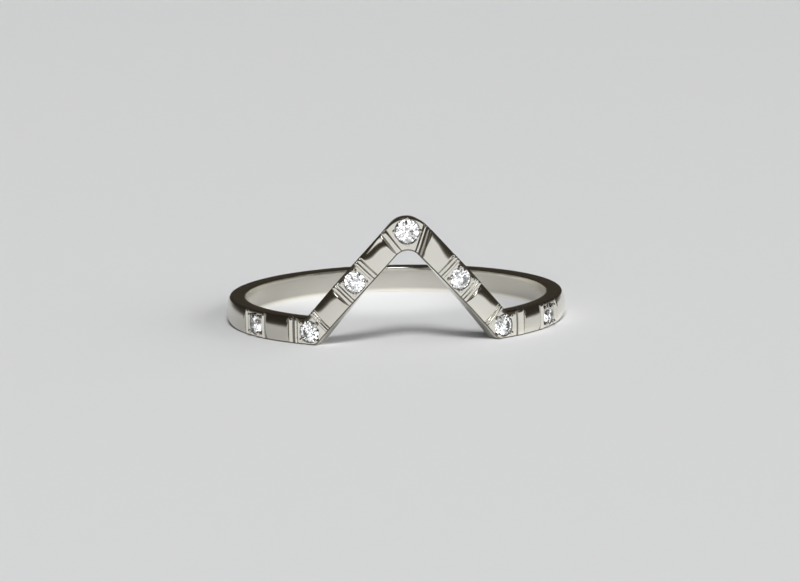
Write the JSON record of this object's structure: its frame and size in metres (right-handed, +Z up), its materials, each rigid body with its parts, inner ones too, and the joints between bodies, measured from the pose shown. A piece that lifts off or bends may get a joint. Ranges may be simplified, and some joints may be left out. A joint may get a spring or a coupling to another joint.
{
  "type": "chevron ring",
  "caption": "Slim polished band that rises to a pointed V over the finger, with small round stones set in its face between cross-cut bars.",
  "frame": {"origin": "centre of the finger hole, in the plane that the band rests on", "axes": "+Z up along the finger axis, -Y towards the peak of the chevron, +X to the right as seen from the peak's side"},
  "size_m": [0.0194, 0.0196, 0.0073],
  "materials": {
    "white_gold": "polished white gold with fine hand-polishing marks",
    "diamond": "clear polished facets"
  },
  "bodies": {
    "root": {"band": "white_gold", "peak_stone": "diamond", "leg_stone_left": "diamond", "leg_stone_right": "diamond", "valley_stone_left": "diamond", "valley_stone_right": "diamond", "side_stone_left": "diamond", "side_stone_right": "diamond"}
  },
  "joints": []
}
